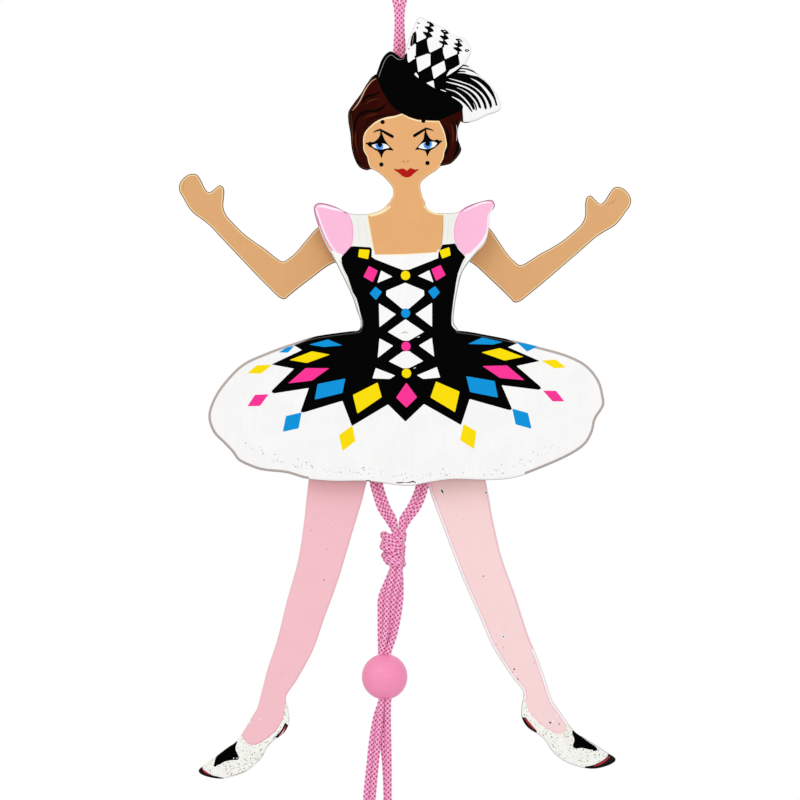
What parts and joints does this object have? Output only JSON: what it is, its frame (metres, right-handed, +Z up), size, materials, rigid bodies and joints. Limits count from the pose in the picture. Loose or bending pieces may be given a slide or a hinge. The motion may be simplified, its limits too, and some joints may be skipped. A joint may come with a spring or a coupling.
{
  "type": "jumping jack",
  "caption": "Flat wooden dancer in a lozenge-patterned costume and tutu, whose arms and legs fly up when the string bead below is pulled.",
  "frame": {"origin": "inside top of the hanging loop, where a hook or nail bears", "axes": "+X to the viewer's right, +Y to the back, +Z up, with the printed face towards -Y"},
  "size_m": [0.1187, 0.0138, 0.2335],
  "materials": {
    "printed_plate": "printed and lacquered, satin",
    "arm_print": "printed skin tone, satin",
    "left_leg_print": "printed pink stocking and glitter shoe, satin",
    "right_leg_print": "printed pale pink stocking and glitter shoe, satin",
    "peg_wood": "bare hardwood",
    "washer_wood": "bare plywood",
    "pink_cord": "braided pink cord",
    "bead_paint": "smooth pink paint"
  },
  "bodies": {
    "root": {"body_plate": "printed_plate", "left_shoulder_peg": "peg_wood", "right_shoulder_peg": "peg_wood", "left_hip_peg": "peg_wood", "right_hip_peg": "peg_wood", "hanging_peg": "peg_wood", "left_shoulder_washer": "washer_wood", "right_shoulder_washer": "washer_wood", "left_hip_washer": "washer_wood", "right_hip_washer": "washer_wood", "hanging_cord": "pink_cord", "hanging_knot": "pink_cord"},
    "pull_strings": {"left_arm_string": "pink_cord", "right_arm_string": "pink_cord", "left_leg_string": "pink_cord", "right_leg_string": "pink_cord", "gather_knot": "pink_cord", "pull_bead": "bead_paint", "left_tail_knot": "pink_cord", "right_tail_knot": "pink_cord"},
    "left_arm": {"left_arm": "arm_print", "left_arm_knot": "pink_cord"},
    "right_arm": {"right_arm": "arm_print", "right_arm_knot": "pink_cord"},
    "left_leg": {"left_leg": "left_leg_print", "left_leg_knot": "pink_cord"},
    "right_leg": {"right_leg": "right_leg_print", "right_leg_knot": "pink_cord"}
  },
  "joints": [
    {"name": "pull", "type": "slide", "parent": "root", "child": "pull_strings", "axis": [0, 0, -1], "range_m": [-0.0019, 0.008]},
    {"name": "left_shoulder", "type": "hinge", "parent": "root", "child": "left_arm", "pos_m": [-0.013, 0, -0.07695], "axis": [0, 1, 0], "range_deg": [-15.8, 65.8]},
    {"name": "right_shoulder", "type": "hinge", "parent": "root", "child": "right_arm", "pos_m": [0.0146, 0, -0.07615], "axis": [0, -1, 0], "range_deg": [-15.8, 65.8]},
    {"name": "left_hip", "type": "hinge", "parent": "root", "child": "left_leg", "pos_m": [-0.0135, 0, -0.12738], "axis": [0, 1, 0], "range_deg": [-12.4, 51.2]},
    {"name": "right_hip", "type": "hinge", "parent": "root", "child": "right_leg", "pos_m": [0.0113, 0, -0.12738], "axis": [0, -1, 0], "range_deg": [-12.4, 51.2]}
  ],
  "couplings": [
    {"joint": "left_shoulder", "follows": "pull", "rad_per_m": 142.86},
    {"joint": "right_shoulder", "follows": "pull", "rad_per_m": 142.86},
    {"joint": "left_hip", "follows": "pull", "rad_per_m": 111.11},
    {"joint": "right_hip", "follows": "pull", "rad_per_m": 111.11}
  ]
}
